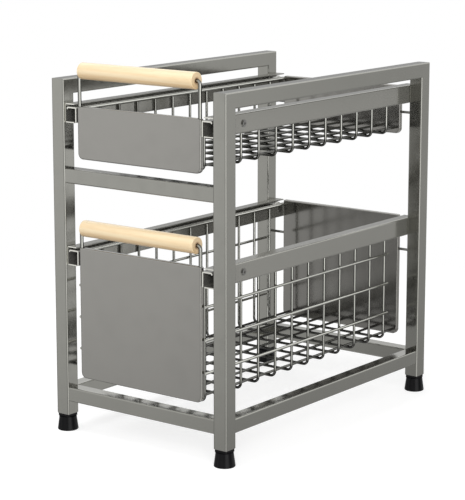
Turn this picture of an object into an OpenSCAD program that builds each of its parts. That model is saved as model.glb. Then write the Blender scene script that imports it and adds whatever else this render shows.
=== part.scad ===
// Two tier pull out cabinet basket: a square tube frame on four feet with two wire baskets
// that roll out on side runners. Millimetres, +Z up, the front is -Y, floor at Z = 0.

/* [Frame] */
// Outside width of the frame over its posts
frame_width = 238; // [180:0.5:320]
// Outside depth of the frame over its posts
frame_depth = 388; // [300:0.5:500]
// Height of the frame's top above the floor
frame_height = 393; // [385:0.5:480]
// Outside size of the square post tube
post_size = 17; // [13:0.5:22]
// Wall of every square tube
tube_wall = 1.2; // [0.8:0.1:2.5]
// Outside corner radius of every square tube
tube_corner = 1.5; // [0.5:0.1:3]
// Outside size of the square cross rails
rail_size = 16; // [11:0.5:20]
// Height of the bottom rails' underside above the floor
bottom_rail_z = 34.5; // [24:0.1:45]
// Share of the free height between the lower grip and the upper panel that lies below the middle rail
middle_rail_share = 0.767; // [0.1:0.001:0.9]

/* [Feet] */
// Height of a foot from the floor to the post
foot_height = 19; // [14:0.5:22]
// How far a foot's square collar stands in from the post's faces
foot_collar_inset = 1.2; // [0.2:0.05:1.5]
// Height of the square collar
foot_collar_height = 3.6; // [2:0.1:6]
// Diameter of a foot's round body at its top
foot_top_diameter = 19.2; // [15:0.1:20]
// Diameter of a foot at the floor
foot_base_diameter = 23; // [20:0.5:30]
// Radius of the round edge at the floor
foot_base_edge = 1; // [0.3:0.1:2]
// Length of the plug that stands up inside the post
foot_plug_length = 18; // [10:1:30]
// Gap between the plug and the post's inside on each side
foot_plug_gap = 0.1; // [0.05:0.05:0.5]

/* [Runners] */
// Height of an outer runner channel
runner_height = 21; // [18:0.5:24]
// Depth of an outer runner channel from the post inwards
runner_depth = 13.2; // [12.5:0.1:18]
// Sheet thickness of the outer runners
runner_sheet = 1.2; // [0.8:0.1:1.6]
// Outside bend radius of the runners
runner_bend = 1.7; // [1.6:0.1:2.5]
// How far the runners and panels stand behind the frame's front face
front_setback = 2.5; // [1:0.5:4]
// Height of the lower runners' underside above the floor
lower_runner_z = 188.9; // [170:0.1:220]
// Distance from the frame's top down to the upper runners' underside
upper_runner_drop = 47.2; // [36:0.1:52]
// Sheet thickness of the inner runners
slider_sheet = 1.5; // [1:0.1:1.8]
// Gap between an inner runner's web and the outer runner's lip
slider_gap = 1.5; // [0.8:0.1:3]
// Gap above the inner runner inside the outer one
slider_top_gap = 2.5; // [0.6:0.1:3.5]
// How far the inner runner's web stops above the outer runner's underside
slider_bottom_gap = 0.6; // [0.2:0.1:2]
// Reach of the inner runner's top flange from its web
slider_reach = 12; // [11:0.1:12.5]
// Drop of the inner runner's lip below its top flange
slider_lip = 1.2; // [1:0.1:2.2]
// How far the inner runner's top flange stops before the rear roller
slider_flange_stop = 1.6; // [1:0.1:4]

/* [Rollers] */
// Distance of the front rollers behind the runners' front ends
front_roller_back = 49.5; // [35:0.5:70]
// Radius of the front rollers
front_roller_radius = 5; // [4:0.1:5.5]
// Distance of the rear rollers before the runners' rear ends
rear_roller_ahead = 12.5; // [10:0.5:25]
// Gap between a roller and the face it rolls on
roller_gap = 0.3; // [0.1:0.05:0.5]
// Free play at each end of a roller
roller_end_gap = 0.3; // [0.1:0.05:0.6]
// Radius of the roller axles
axle_radius = 2; // [1.5:0.1:2.5]
// Running clearance around an axle
axle_clearance = 0.06; // [0.02:0.01:0.1]
// Radius of the axle heads on the outside of the runners
axle_head_radius = 4; // [3.5:0.1:5]
// Thickness of the axle heads on the outside
axle_head = 1.4; // [1:0.1:3]
// Thickness of the heads between a roller and the inner runner
axle_end_head = 0.7; // [0.4:0.1:1]
// Distance the baskets roll out
travel = 305; // [200:1:305]

/* [Baskets] */
// Sheet thickness of the basket panels
panel_sheet = 1.2; // [0.8:0.1:2]
// Depth of the folded edge around a panel
panel_fold = 4.8; // [3:0.1:8]
// Gap between a panel's side and the inner runner
panel_side_gap = 1.5; // [0.5:0.1:3]
// Outside radius of the bend between a panel's face and its folded edge
panel_bend = 1.5; // [1.2:0.1:1.8]
// Outside radius of a panel's bottom corners
panel_bottom_corner = 6.5; // [4:0.1:12]
// How far the lower panels reach below their runners' underside
lower_panel_drop = 124.6; // [115:0.1:135]
// How far the lower panels stand above their runners' underside
lower_panel_rise = 21.3; // [18:0.1:24]
// How far the upper panels reach below their runners' underside
upper_panel_drop = 38.5; // [30:0.1:45]
// How far the upper panels stand above their runners' underside
upper_panel_rise = 18.6; // [17.7:0.1:24]
// Height of the upper basket's floor wires above the panel's bottom edge
upper_floor_lift = 2.2; // [0:0.1:4]
// Diameter of the basket wire
wire_diameter = 3; // [2:0.1:3.2]
// Gap left between wires and sheets where they are welded
weld_gap = 0.1; // [0.05:0.05:0.3]
// Number of cross wires in a basket
cross_wire_count = 12; // [4:1:20]
// Distance from the last cross wire to the back panel
last_wire_gap = 29; // [15:0.5:40]
// Bend radius of a cross wire, on its centre line
cross_wire_bend = 6; // [4:0.5:12]
// Height of the rim wires above the runner's underside
rim_rise = 15.4; // [12:0.1:16]
// Number of lengthwise floor wires
floor_wire_count = 7; // [3:2:9]
// Distance between lengthwise floor wires
floor_wire_pitch = 25.4; // [15:0.1:25.6]
// Height of the lowest side wire above the lower basket's floor
side_wire_first = 32.1; // [20:0.1:40]
// Distance between side wires of the lower basket
side_wire_pitch = 35.5; // [20:0.1:38]
// Distance from the frame's rear face to the back rods' centre line
back_rod_inset = 2.5; // [1.6:0.1:4]
// Diameter of the back rods
back_rod_diameter = 3; // [2:0.1:3.2]
// Distance from the lower runners' underside down to the lower back rod's centre
lower_rod_drop = 20.9; // [6:0.1:60]
// Distance from the upper runners' underside down to the upper back rod's centre
upper_rod_drop = 13.3; // [4:0.1:30]
// Gap between the back panels and the back rods
rod_gap = 0.3; // [0.2:0.05:1]

/* [Handles] */
// Diameter of the handle wire
handle_wire = 4; // [3:0.1:4.4]
// Bend radius of the handle wire, on its centre line
handle_bend = 4; // [3:0.1:6]
// Length of the handle wire's tail inside the panel's corner
handle_tail = 20; // [10:1:30]
// Diameter of the wooden grip
grip_diameter = 18; // [14:0.5:18]
// Gap between the grip's end and the bend
grip_end_gap = 0.3; // [0.2:0.1:1]
// Height of the lower grip's axis above the lower panel
lower_grip_rise = 21.8; // [15:0.1:30]
// Height of the upper grip's axis above the upper panel
upper_grip_rise = 38.5; // [20:0.1:50]
// Running clearance between the handle wire and the grip's bore
grip_clearance = 0.08; // [0.02:0.01:0.1]
// Radius of the round edge at the grip's ends
grip_edge = 0.6; // [0.5:0.1:3]
// Width of the countersink at the grip's ends
grip_countersink = 0.6; // [0.2:0.1:1.5]

/* [Hidden] */
$fn = 64;
eps = 0.01;

// Colours of the finishes
steel = [0.6, 0.6, 0.58];
dark_steel = [0.35, 0.35, 0.34];
plastic = [0.06, 0.06, 0.07];
nylon = [0.85, 0.85, 0.82];
wood = [0.93, 0.78, 0.58];

// The frame is shifted so that the whole part is centred on Z
front_reach = grip_diameter / 2 - handle_wire / 2 - front_setback;
rear_reach = foot_base_diameter / 2 - post_size / 2;
centre_shift = (front_reach - rear_reach) / 2;
front_y = centre_shift - frame_depth / 2;
rear_y = centre_shift + frame_depth / 2;
post_x = frame_width / 2 - post_size / 2;
inner_face_x = frame_width / 2 - post_size;
rail_inset = post_size - rail_size;

// Heights above the floor
upper_runner_z = frame_height - upper_runner_drop;
lower_panel_z = lower_runner_z - lower_panel_drop;
upper_panel_z = upper_runner_z - upper_panel_drop;
lower_panel_top = lower_runner_z + lower_panel_rise;
upper_panel_top = upper_runner_z + upper_panel_rise;
lower_panel_height = lower_panel_top - lower_panel_z;
upper_panel_height = upper_panel_top - upper_panel_z;
lower_floor_z = lower_panel_z;
upper_floor_z = upper_panel_z + upper_floor_lift;
lower_grip_top = lower_panel_top + lower_grip_rise + grip_diameter / 2;
middle_rail_room = upper_panel_z - lower_grip_top - rail_size;
middle_rail_z = lower_grip_top + middle_rail_room * middle_rail_share;
lower_rod_z = lower_runner_z - lower_rod_drop;
upper_rod_z = upper_runner_z - upper_rod_drop;

// Runner faces, measured along X from the middle
runner_web_x = inner_face_x - runner_sheet;
runner_tip_x = inner_face_x - runner_depth;
slider_out_x = runner_tip_x - slider_gap;
slider_in_x = slider_out_x - slider_sheet;
slider_edge_x = slider_out_x + slider_reach;
runner_front_y = front_y + front_setback;
runner_rear_y = rear_y - front_setback;

// Heights inside a runner, above its underside
slider_top = runner_height - runner_sheet - slider_top_gap;
slider_under = slider_top - slider_sheet;
front_roller_rise = slider_under - roller_gap - front_roller_radius;
rear_roller_radius = runner_height / 2 - runner_sheet - roller_gap - 0.1;
rear_roller_rise = runner_sheet + roller_gap + rear_roller_radius;
front_roller_y = runner_front_y + front_roller_back;
rear_roller_y = runner_rear_y - rear_roller_ahead;
slider_flange_end_y = rear_roller_y - rear_roller_radius - slider_flange_stop;

// Rollers along X: end head, play, roller, play
roller_in_x = slider_out_x + roller_end_gap + axle_end_head + roller_end_gap;
front_roller_out_x = slider_edge_x - slider_sheet - 2 * roller_end_gap;
rear_roller_out_x = runner_web_x - 2 * roller_end_gap - axle_end_head;
spacer_radius = axle_radius + 0.6;

// Basket faces
wire_radius = wire_diameter / 2;
wire_x = slider_in_x - weld_gap - wire_radius;
panel_x = slider_in_x - panel_side_gap;
panel_front_y = runner_front_y;
fold_rear_y = panel_front_y + panel_fold;
rod_y = rear_y - back_rod_inset;
back_fold_y = rod_y - back_rod_diameter / 2 - rod_gap;
back_face_y = back_fold_y - panel_fold;
first_wire_y = fold_rear_y + weld_gap + wire_radius;
last_wire_y = back_face_y - last_wire_gap;
wire_pitch = (last_wire_y - first_wire_y) / (cross_wire_count - 1);

// Handle faces
handle_radius = handle_wire / 2;
leg_x = panel_x - handle_radius;
leg_y = panel_front_y + handle_radius;
grip_half = leg_x - handle_bend - grip_end_gap;

// Flat rectangle from its low corner with one radius for the two low and one for the two high corners
module rounded_2d(w, h, r_low, r_high) {
  union() {
    translate([r_low, 0]) square([w - 2 * r_low, h / 2]);
    translate([0, r_low]) square([w, h - r_low - r_high]);
    translate([r_high, h / 2]) square([w - 2 * r_high, h / 2]);
    for (x = [r_low, w - r_low]) translate([x, r_low]) circle(r = r_low);
    for (x = [r_high, w - r_high]) translate([x, h - r_high]) circle(r = r_high);
  }
}

// Square tube section centred on its axis
module tube_2d(size) {
  inside = size - 2 * tube_wall;
  difference() {
    translate([-size / 2, -size / 2]) rounded_2d(size, size, tube_corner, tube_corner);
    square([inside, inside], center = true);
  }
}

// Turns a section so that it is extruded along X
module along_x() {
  rotate([90, 0, 90]) children();
}

// Turns a section so that it is extruded along +Y, with the section's own X along X
module along_y() {
  mirror([0, 1, 0]) rotate([90, 0, 0]) children();
}

// Cylinder along X from x1 to x2
module bar_x(x1, x2, y, z, r) {
  translate([x1, y, z]) rotate([0, 90, 0]) cylinder(r = r, h = x2 - x1);
}

// Cylinder along Y from y1 to y2
module bar_y(y1, y2, x, z, r) {
  translate([x, y1, z]) rotate([-90, 0, 0]) cylinder(r = r, h = y2 - y1);
}

// The space above the mitre at the front top corner, which belongs to the top rail
module mitre_space() {
  translate([0, front_y, frame_height]) rotate([-45, 0, 0])
    translate([-frame_width, -frame_depth, 0]) cube([2 * frame_width, 2 * frame_depth, frame_depth]);
}

// Front right post, mitred at its top
module front_right_post() {
  difference() {
    translate([post_x, front_y + post_size / 2, foot_height])
      linear_extrude(frame_height - foot_height) tube_2d(post_size);
    mitre_space();
  }
}

// Mirrors a front piece to the back of the frame
module to_back() {
  translate([0, 2 * centre_shift, 0]) mirror([0, 1, 0]) children();
}

module post_front_left() { color(steel) mirror([1, 0, 0]) front_right_post(); }
module post_front_right() { color(steel) front_right_post(); }
module post_back_left() { color(steel) to_back() mirror([1, 0, 0]) front_right_post(); }
module post_back_right() { color(steel) to_back() front_right_post(); }

// Top side rail with both ends mitred
module right_top_rail() {
  intersection() {
    translate([post_x, front_y, frame_height - post_size / 2])
      along_y() linear_extrude(frame_depth) tube_2d(post_size);
    mitre_space();
    to_back() mitre_space();
  }
}

module top_rail_left() { color(steel) mirror([1, 0, 0]) right_top_rail(); }
module top_rail_right() { color(steel) right_top_rail(); }

// Rail across the frame between two posts, its underside at z
module cross_rail(z) {
  translate([-inner_face_x, front_y + rail_inset + rail_size / 2, z + rail_size / 2])
    along_x() linear_extrude(2 * inner_face_x) tube_2d(rail_size);
}

// Bottom rail along the right side between the front and back posts
module right_bottom_rail() {
  translate([frame_width / 2 - rail_inset - rail_size / 2, front_y + post_size, bottom_rail_z + rail_size / 2])
    along_y() linear_extrude(frame_depth - 2 * post_size) tube_2d(rail_size);
}

module bottom_rail_front() { color(steel) cross_rail(bottom_rail_z); }
module bottom_rail_back() { color(steel) to_back() cross_rail(bottom_rail_z); }
module bottom_rail_left() { color(steel) mirror([1, 0, 0]) right_bottom_rail(); }
module bottom_rail_right() { color(steel) right_bottom_rail(); }
module middle_rail_front() { color(steel) cross_rail(middle_rail_z); }

// Two thin rods between the back posts that the baskets' back panels stop at
module back_rods() {
  color(steel) for (z = [lower_rod_z, upper_rod_z])
    bar_x(-inner_face_x, inner_face_x, rod_y, z, back_rod_diameter / 2);
}

// Half section of a foot's round body, turned around Z
module foot_2d() {
  top = foot_height - foot_collar_height;
  base = foot_base_diameter / 2;
  union() {
    square([base - foot_base_edge, foot_base_edge * 2]);
    translate([base - foot_base_edge, foot_base_edge]) circle(r = foot_base_edge);
    polygon([[0, foot_base_edge], [base, foot_base_edge], [foot_top_diameter / 2, top], [0, top]]);
  }
}

// Plastic foot: flared round body, square collar under the post and a plug inside it
module front_right_foot() {
  collar = post_size - 2 * foot_collar_inset;
  plug = post_size - 2 * tube_wall - 2 * foot_plug_gap;
  translate([post_x, front_y + post_size / 2, 0]) union() {
    rotate_extrude() intersection() {
      foot_2d();
      square([foot_base_diameter, foot_height]);
    }
    translate([-collar / 2, -collar / 2, 0]) translate([0, 0, foot_height - foot_collar_height - eps])
      cube([collar, collar, foot_collar_height + eps]);
    translate([-plug / 2, -plug / 2, foot_height - eps])
      cube([plug, plug, foot_plug_length + eps]);
  }
}

module foot_front_left() { color(plastic) mirror([1, 0, 0]) front_right_foot(); }
module foot_front_right() { color(plastic) front_right_foot(); }
module foot_back_left() { color(plastic) to_back() mirror([1, 0, 0]) front_right_foot(); }
module foot_back_right() { color(plastic) to_back() front_right_foot(); }

// Outer runner section: a channel with its back to the post and two bent flanges
module runner_2d() {
  inner_bend = runner_bend - runner_sheet;
  depth = runner_depth + 2 * runner_bend;
  difference() {
    translate([runner_tip_x - 2 * runner_bend, 0])
      rounded_2d(depth, runner_height, runner_bend, runner_bend);
    translate([runner_tip_x - 2 * runner_bend, runner_sheet])
      rounded_2d(depth - runner_sheet, runner_height - 2 * runner_sheet, inner_bend, inner_bend);
    translate([runner_tip_x - 3 * runner_bend, -eps])
      square([3 * runner_bend, runner_height + 2 * eps]);
  }
}

// Outer runner on the right, its underside at z
module right_runner(z) {
  difference() {
    translate([0, runner_front_y, z]) along_y()
      linear_extrude(runner_rear_y - runner_front_y) runner_2d();
    bar_x(runner_tip_x, inner_face_x + 1, front_roller_y, z + front_roller_rise,
      axle_radius + axle_clearance);
  }
}

module runner_lower_left() { color(steel) mirror([1, 0, 0]) right_runner(lower_runner_z); }
module runner_lower_right() { color(steel) right_runner(lower_runner_z); }
module runner_upper_left() { color(steel) mirror([1, 0, 0]) right_runner(upper_runner_z); }
module runner_upper_right() { color(steel) right_runner(upper_runner_z); }

// Axle of a front roller: round head outside the runner, spacer, shaft and end head
module right_axle(z) {
  y = front_roller_y;
  rise = z + front_roller_rise;
  end_x = slider_out_x + roller_end_gap;
  difference() {
    union() {
      bar_x(inner_face_x, inner_face_x + axle_head / 2, y, rise, axle_head_radius);
      bar_x(inner_face_x, inner_face_x + axle_head, y, rise, axle_head_radius - 1);
      bar_x(end_x, inner_face_x + eps, y, rise, axle_radius);
      bar_x(front_roller_out_x + roller_end_gap, runner_web_x, y, rise, spacer_radius);
      bar_x(end_x, end_x + axle_end_head, y, rise, axle_radius + 1);
    }
    bar_x(inner_face_x + axle_head / 2, inner_face_x + axle_head + 1, y, rise, axle_radius - 0.5);
  }
}

module front_axles() {
  color(dark_steel) for (z = [lower_runner_z, upper_runner_z]) {
    right_axle(z);
    mirror([1, 0, 0]) right_axle(z);
  }
}

// Roller with a bore for its axle and rounded rims
module roller(x1, x2, y, z, r) {
  rim = 0.8;
  translate([x1, y, z]) rotate([0, 90, 0]) rotate_extrude() difference() {
    rounded_2d_half(r, x2 - x1, rim);
    translate([-1, -1]) square([axle_radius + axle_clearance + 1, x2 - x1 + 2]);
  }
}

// Half section from the axis outwards with two rounded outer corners
module rounded_2d_half(r, h, edge) {
  union() {
    square([r - edge, h]);
    translate([0, edge]) square([r, h - 2 * edge]);
    for (y = [edge, h - edge]) translate([r - edge, y]) circle(r = edge);
  }
}

module right_front_roller(z) {
  roller(roller_in_x, front_roller_out_x, front_roller_y, z + front_roller_rise, front_roller_radius);
}

module front_roller_lower_left() { color(nylon) mirror([1, 0, 0]) right_front_roller(lower_runner_z); }
module front_roller_lower_right() { color(nylon) right_front_roller(lower_runner_z); }
module front_roller_upper_left() { color(nylon) mirror([1, 0, 0]) right_front_roller(upper_runner_z); }
module front_roller_upper_right() { color(nylon) right_front_roller(upper_runner_z); }

// Inner runner section: an upright web with a top flange and a small turned down lip
module slider_2d() {
  union() {
    translate([slider_in_x, slider_bottom_gap])
      square([slider_sheet, slider_top - slider_bottom_gap - slider_sheet]);
    slider_flange_2d();
  }
}

// The bent top part of the inner runner's section
module slider_flange_2d() {
  width = slider_edge_x - slider_in_x;
  drop = slider_lip + slider_sheet;
  inner = max(runner_bend - slider_sheet, 0.1);
  difference() {
    translate([slider_in_x, slider_top - 3 * drop])
      rounded_2d(width, 3 * drop, runner_bend, runner_bend);
    translate([slider_out_x, slider_top - 3 * drop - eps])
      rounded_2d(width - 2 * slider_sheet, 3 * drop - slider_sheet + eps, inner, inner);
    translate([slider_in_x - 1, slider_top - 3 * drop - 1])
      square([width + 2, 2 * drop + 1]);
  }
}

// Inner runner on the right: the top flange stops before the rear roller
module right_slider(z) {
  length = back_fold_y - panel_front_y;
  difference() {
    translate([0, panel_front_y, z]) along_y() linear_extrude(length) slider_2d();
    translate([slider_out_x, slider_flange_end_y, z - 1])
      cube([slider_reach + 1, runner_rear_y, runner_height + 2]);
    bar_x(slider_in_x - 1, slider_out_x + 1, rear_roller_y, z + rear_roller_rise,
      axle_radius + axle_clearance);
  }
}

module slider_lower_left() { color(steel) mirror([1, 0, 0]) right_slider(lower_runner_z); }
module slider_lower_right() { color(steel) right_slider(lower_runner_z); }
module slider_upper_left() { color(steel) mirror([1, 0, 0]) right_slider(upper_runner_z); }
module slider_upper_right() { color(steel) right_slider(upper_runner_z); }

// Riveted pin of a rear roller through the inner runner's web
module right_pin(z) {
  y = rear_roller_y;
  rise = z + rear_roller_rise;
  tail = rear_roller_out_x + roller_end_gap;
  union() {
    bar_x(slider_in_x - 1.2, slider_in_x, y, rise, axle_radius + 1.2);
    bar_x(slider_in_x - eps, tail + axle_end_head, y, rise, axle_radius);
    bar_x(slider_out_x, slider_out_x + roller_end_gap + axle_end_head, y, rise, axle_radius + 1);
    bar_x(tail, tail + axle_end_head, y, rise, axle_radius + 1);
  }
}

// The pair of rear pins of one basket
module rear_pins(z) {
  right_pin(z);
  mirror([1, 0, 0]) right_pin(z);
}

module rear_pins_lower() { color(dark_steel) rear_pins(lower_runner_z); }
module rear_pins_upper() { color(dark_steel) rear_pins(upper_runner_z); }

module right_rear_roller(z) {
  roller(roller_in_x, rear_roller_out_x, rear_roller_y, z + rear_roller_rise, rear_roller_radius);
}

module rear_roller_lower_left() { color(nylon) mirror([1, 0, 0]) right_rear_roller(lower_runner_z); }
module rear_roller_lower_right() { color(nylon) right_rear_roller(lower_runner_z); }
module rear_roller_upper_left() { color(nylon) mirror([1, 0, 0]) right_rear_roller(upper_runner_z); }
module rear_roller_upper_right() { color(nylon) right_rear_roller(upper_runner_z); }

// Quarter of a ring around a panel's bottom right corner, its face at Y = 0
module corner_roll() {
  mirror([0, 0, 1]) rotate([90, 0, 0]) mirror([0, 0, 1])
    rotate_extrude(angle = 90) translate([panel_bottom_corner - panel_bend, 0]) circle(r = panel_bend);
}

// Round front edge of a panel w wide and h high that is centred on X, its face at Y = 0
module edge_rolls(w, h) {
  b = panel_bend;
  c = panel_bottom_corner;
  translate([0, b, 0]) {
    bar_x(c - w / 2, w / 2 - c, 0, b, b);
    bar_x(b - w / 2, w / 2 - b, 0, h - b, b);
    for (side = [0, 1]) mirror([side, 0, 0]) {
      translate([w / 2 - b, 0, c]) cylinder(r = b, h = h - b - c);
      translate([w / 2 - b, 0, h - b]) sphere(r = b);
      translate([w / 2 - c, 0, c]) corner_roll();
    }
  }
}

// Solid block of a panel's outside with its front edges rounded, its face at Y = 0
module panel_block(w, h) {
  b = panel_bend;
  union() {
    translate([-w / 2, b, 0]) along_y() linear_extrude(panel_fold - b)
      rounded_2d(w, h, panel_bottom_corner, b);
    translate([b - w / 2, 0, b]) along_y() linear_extrude(panel_fold)
      rounded_2d(w - 2 * b, h - 2 * b, panel_bottom_corner - b, eps);
    edge_rolls(w, h);
  }
}

// Sheet panel with a folded edge all round, its face at y and its fold behind it
module panel(y, z, height) {
  t = panel_sheet;
  difference() {
    translate([0, y, z]) panel_block(2 * panel_x, height);
    translate([-panel_x + t, y + t, z + t]) along_y() linear_extrude(panel_fold)
      rounded_2d(2 * panel_x - 2 * t, height - 2 * t, panel_bottom_corner - t, panel_bend - t);
  }
}

// Front panel: the top fold is notched at both ends for the handle wire's tails
module front_panel(z, height) {
  notch = handle_wire + weld_gap;
  difference() {
    panel(panel_front_y, z, height);
    for (side = [-1, 1])
      translate([side * (panel_x - panel_sheet - notch / 2) - notch / 2, panel_front_y + panel_sheet,
        z + height - 2 * panel_sheet])
        cube([notch, panel_fold, 3 * panel_sheet]);
  }
}

module front_panel_lower() { color(steel) front_panel(lower_panel_z, lower_panel_height); }
module front_panel_upper() { color(steel) front_panel(upper_panel_z, upper_panel_height); }
module back_panel_lower() { color(steel) panel(back_face_y, lower_panel_z, lower_panel_height); }
module back_panel_upper() { color(steel) panel(back_face_y, upper_panel_z, upper_panel_height); }

// One cross wire: down one side, across the floor and up the other side
module cross_wire(y, floor_z, top_z) {
  low = floor_z + wire_radius;
  bend = cross_wire_bend;
  union() {
    bar_x(-wire_x + bend, wire_x - bend, y, low, wire_radius);
    for (side = [0, 1]) mirror([side, 0, 0]) {
      translate([wire_x, y, low + bend]) cylinder(r = wire_radius, h = top_z - low - bend);
      translate([wire_x - bend, y, low + bend]) rotate([90, 90, 0])
        rotate_extrude(angle = 90) translate([bend, 0]) circle(r = wire_radius);
    }
  }
}

// All the cross wires of one basket, ending under its rim wires
module cross_wires(floor_z, runner_z) {
  top_z = runner_z + rim_rise - wire_radius - weld_gap;
  for (k = [0 : cross_wire_count - 1])
    cross_wire(first_wire_y + k * wire_pitch, floor_z, top_z);
}

// Lengthwise wires that lie on the cross wires' floor
module floor_wires(floor_z) {
  z = floor_z + 3 * wire_radius + weld_gap;
  for (k = [0 : floor_wire_count - 1])
    bar_y(panel_front_y + panel_sheet + weld_gap, back_face_y - weld_gap,
      (k - (floor_wire_count - 1) / 2) * floor_wire_pitch, z, wire_radius);
}

// Straight rim wire along the top of each side
module rim_wires(runner_z) {
  for (side = [-1, 1])
    bar_y(fold_rear_y + weld_gap, back_face_y - weld_gap, side * wire_x, runner_z + rim_rise, wire_radius);
}

module cross_wires_lower() { color(steel) cross_wires(lower_floor_z, lower_runner_z); }
module cross_wires_upper() { color(steel) cross_wires(upper_floor_z, upper_runner_z); }
module floor_wires_lower() { color(steel) floor_wires(lower_floor_z); }
module floor_wires_upper() { color(steel) floor_wires(upper_floor_z); }
module rim_wires_lower() { color(steel) rim_wires(lower_runner_z); }
module rim_wires_upper() { color(steel) rim_wires(upper_runner_z); }

// Three wires along the outside of each side of the deep basket
module side_wires_lower() {
  color(steel) for (side = [-1, 1]) for (k = [0 : 2])
    bar_y(first_wire_y - wire_diameter, last_wire_y + wire_diameter,
      side * (wire_x + wire_diameter + weld_gap),
      lower_floor_z + side_wire_first + k * side_wire_pitch, wire_radius);
}

// Handle wire: two legs on the panel's top corners, joined through the grip
module handle_wire_at(top_z, grip_z) {
  tail_x = panel_x - panel_sheet - weld_gap;
  union() {
    bar_x(-leg_x + handle_bend, leg_x - handle_bend, leg_y, grip_z, handle_radius);
    for (side = [0, 1]) mirror([side, 0, 0]) {
      translate([leg_x, leg_y, top_z]) cylinder(r = handle_radius, h = grip_z - handle_bend - top_z);
      translate([leg_x - handle_bend, leg_y, grip_z - handle_bend]) rotate([90, 0, 0])
        rotate_extrude(angle = 90) translate([handle_bend, 0]) circle(r = handle_radius);
      intersection() {
        translate([leg_x, leg_y, top_z - handle_tail])
          cylinder(r = handle_radius, h = handle_tail + 1);
        translate([0, panel_front_y + panel_sheet + weld_gap, 0])
          cube([tail_x, panel_fold, top_z + 1]);
      }
    }
  }
}

module handle_wire_lower() {
  color(steel) handle_wire_at(lower_panel_top, lower_panel_top + lower_grip_rise);
}
module handle_wire_upper() {
  color(steel) handle_wire_at(upper_panel_top, upper_panel_top + upper_grip_rise);
}

// Wooden grip: a round bar bored along its axis, free to turn on the handle wire
module grip(z) {
  bore = handle_radius + grip_clearance;
  half = grip_half;
  translate([-half, leg_y, z]) rotate([0, 90, 0]) rotate_extrude() difference() {
    rounded_2d_half(grip_diameter / 2, 2 * half, grip_edge);
    translate([-1, -1]) square([bore + 1, 2 * half + 2]);
    for (end = [0, 1]) translate([0, end * 2 * half]) mirror([0, end])
      polygon([[0, -eps], [bore + grip_countersink, -eps], [bore, grip_countersink], [0, grip_countersink]]);
  }
}

module grip_lower() { color(wood) grip(lower_panel_top + lower_grip_rise); }
module grip_upper() { color(wood) grip(upper_panel_top + upper_grip_rise); }

post_front_left();
post_front_right();
post_back_left();
post_back_right();
top_rail_left();
top_rail_right();
bottom_rail_front();
bottom_rail_back();
bottom_rail_left();
bottom_rail_right();
middle_rail_front();
back_rods();
foot_front_left();
foot_front_right();
foot_back_left();
foot_back_right();
runner_lower_left();
runner_lower_right();
runner_upper_left();
runner_upper_right();
front_axles();
front_roller_lower_left();
front_roller_lower_right();
front_roller_upper_left();
front_roller_upper_right();
slider_lower_left();
slider_lower_right();
slider_upper_left();
slider_upper_right();
rear_pins_lower();
rear_pins_upper();
rear_roller_lower_left();
rear_roller_lower_right();
rear_roller_upper_left();
rear_roller_upper_right();
front_panel_lower();
front_panel_upper();
back_panel_lower();
back_panel_upper();
cross_wires_lower();
cross_wires_upper();
floor_wires_lower();
floor_wires_upper();
rim_wires_lower();
rim_wires_upper();
side_wires_lower();
handle_wire_lower();
handle_wire_upper();
grip_lower();
grip_upper();
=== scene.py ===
"""Looks of the two-tier pull-out cabinet basket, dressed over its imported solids."""
import logging
import math
from dataclasses import dataclass, field, replace
from enum import Enum

import bmesh
import bpy
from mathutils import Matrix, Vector


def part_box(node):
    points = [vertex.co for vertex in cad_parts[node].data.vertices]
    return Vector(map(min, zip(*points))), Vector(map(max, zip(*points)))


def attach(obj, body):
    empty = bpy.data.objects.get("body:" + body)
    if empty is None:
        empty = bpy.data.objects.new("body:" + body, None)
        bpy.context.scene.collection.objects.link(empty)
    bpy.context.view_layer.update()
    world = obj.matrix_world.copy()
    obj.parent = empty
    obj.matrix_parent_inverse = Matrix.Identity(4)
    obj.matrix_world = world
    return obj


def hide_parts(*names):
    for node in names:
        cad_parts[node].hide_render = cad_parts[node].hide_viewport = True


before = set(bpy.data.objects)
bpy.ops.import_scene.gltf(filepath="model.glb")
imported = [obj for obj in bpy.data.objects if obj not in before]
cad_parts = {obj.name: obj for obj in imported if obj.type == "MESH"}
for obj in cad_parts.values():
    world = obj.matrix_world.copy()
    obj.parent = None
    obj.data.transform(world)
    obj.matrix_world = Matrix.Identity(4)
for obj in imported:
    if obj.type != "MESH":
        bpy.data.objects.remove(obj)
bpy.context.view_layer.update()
LOG = logging.getLogger("basket")
MERGE_DISTANCE = 1e-7
SHARP_ANGLE = math.radians(40)
Colour = tuple[float, float, float]
Point = tuple[float, float, float]
Stops = tuple[tuple[float, float], ...]


class Tier(Enum):
    """The two baskets, by the word that ends their node names."""

    LOWER = "lower"
    UPPER = "upper"


class Side(Enum):
    """The two sides of the part, with their sign along X."""

    LEFT = -1
    RIGHT = 1


# --------------------------------------------------------------------------- shader tools


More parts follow.
